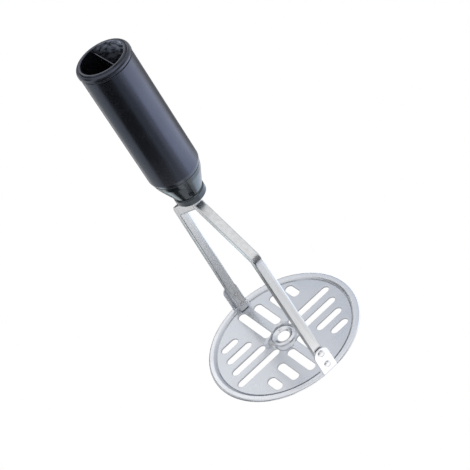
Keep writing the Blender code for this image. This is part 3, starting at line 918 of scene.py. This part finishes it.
def sector(name, inner, outer, start, end, surface):
    """A flat card low over the floor, part of a ring about the origin."""
    work = bmesh.new()
    steps = 24
    angles = [math.radians(start + (end - start) * step / steps) for step in range(steps + 1)]
    near = [work.verts.new((inner * math.cos(a), inner * math.sin(a), CARD_HEIGHT)) for a in angles]
    far = [work.verts.new((outer * math.cos(a), outer * math.sin(a), CARD_HEIGHT)) for a in angles]
    for index in range(steps):
        work.faces.new((near[index], far[index], far[index + 1], near[index + 1]))
    card(name, work, surface)


def make_floor():
    work = bmesh.new()
    bmesh.ops.create_grid(work, x_segments=1, y_segments=1, size=FLOOR_HALF)
    mesh = bpy.data.meshes.new("floor")
    work.to_mesh(mesh)
    work.free()
    mesh.materials.append(glow("floor_white", WHITE, 1.0))
    floor = bpy.data.objects.new("floor", mesh)
    floor.location.z = FLOOR_HEIGHT
    bpy.context.scene.collection.objects.link(floor)


def make_world():
    world = bpy.data.worlds.new("studio")
    bpy.context.scene.world = world
    world.use_nodes = True
    background = world.node_tree.nodes["Background"]
    background.inputs["Color"].default_value = (0.95, 0.97, 1.0, 1.0)
    background.inputs["Strength"].default_value = 0.85


# Cards round the set: reach in metres, bearings and elevations in degrees, colour and strength.
PATCHES = (("overhead", WALL_REACH, 0, 360, 52, 90, WHITE, 1.06),
           ("back_left", WALL_REACH, 164.5, 184, 22, 52, WHITE, 1.3),
           ("back_right", WALL_REACH, 95, 164.5, 22, 52, (0.88, 0.92, 1.0), 0.80),
           ("back_side", WALL_REACH, 184, 208, 26, 52, (0.92, 0.96, 1.0), 0.05),
           ("back_low", WALL_REACH, 135, 195, 0, 22, COOL, 0.05),
           ("front_low", WALL_REACH, -75, 45, 0, 20, COOL, 0.0),
           ("front_mid", WALL_REACH, 5, 28, 20, 31, COOL, 0.05),
           ("front_high", WALL_REACH, -10, 30, 33, 52, WHITE, 1.7),
           ("side_dark", WALL_REACH, 232, 263, 12, 36, COOL, 0.08),
           ("bend_dark", 0.18, 0, 17, 47, 59, COOL, 0.05))
# Cards on the floor: inner and outer reach in mm, bearings, colour and strength.
# under_plate is dimmer than the floor: painted shade under the plate, for the slot walls and underside to
# reflect.
SECTORS = (("under_plate", 0, 46, 0, 360, WHITE, 0.55),
           ("ear_glow", 49, 72, -30, 10, WHITE, 1.5),
           ("leg_back", 50, 88, 195, 212, COOL, 0.05),
           ("leg_side", 50, 75, 212, 245, COOL, 0.05),
           ("far_rim_dark", 49, 94, 136, 185, COOL, 0.02),
           ("far_leg_back", 65, 94, 186, 193, COOL, 0.30),
           ("far_arm_edge", 95, 1400, 160, 190, COOL, 0.05),
           ("edge_dark", 50, 165, -115, -50, (0.8, 0.9, 1.0), 0.05),
           ("arm_side", 89, 155, 193.5, 206, COOL, 0.4),
           ("neck_left", 89, 135, 207, 234, (0.8, 0.95, 1.0), 1.9),
           ("neck_right", 50, 100, 40, 135, (0.75, 0.87, 1.0), 1.9),
           ("collar_right", 101, 204, 23, 135, (0.8, 0.87, 1.0), 1.7),
           ("grip_left", 205, 420, -150, -90, (0.85, 0.93, 1.0), 0.60),
           ("grip_dark", 205, 1000, -90, -27, (0.8, 0.9, 1.0), 0.0),
           ("grip_dusk", 205, 1000, -27, 3, (0.8, 0.9, 1.0), 0.38),
           ("grip_half", 205, 600, 3, 22, (0.8, 0.85, 1.0), 1.0),
           ("grip_light", 205, 420, 22, 92, (0.8, 0.84, 1.0), 2.5),
           ("grip_right", 205, 420, 107, 150, (0.9, 0.93, 1.0), 0.35))


def make_set():
    make_camera()
    make_floor()
    make_world()
    for name, reach, start, end, low, high, colour, strength in PATCHES:
        patch(name, reach, start, end, low, high, glow(name, colour, strength))
    for name, inner, outer, start, end, colour, strength in SECTORS:
        sector(name, inner * MM, outer * MM, start, end, glow(name, colour, strength))
    bpy.context.scene.view_settings.view_transform = "Standard"


def dress(piece, slot, *nodes):
    """Rides a finished piece on the body, in place of its CAD nodes."""
    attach(piece, BODY)
    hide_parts(*nodes)


def main():
    make_set()
    plate_finish = plate_steel()
    leg_finish = leg_steel()
    rivet_finish = rivet_steel()
    dress(make_plate(plate_finish), "plate_steel", "press_plate")
    for side, label in ((1, "right"), (-1, "left")):
        dress(make_leg(side, label, leg_finish), "leg_steel", "leg_strap_" + label)
    for rivet, node in make_rivets(rivet_finish):
        dress(rivet, "rivet_steel", node)
    dress(make_neck(neck_plastic()), "neck_plastic", "neck_core")
    dress(make_grip(grip_plastic()), "grip_plastic", "grip_sleeve")
    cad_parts["tang_pin"].data.materials.clear()
    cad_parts["tang_pin"].data.materials.append(rivet_finish)


main()
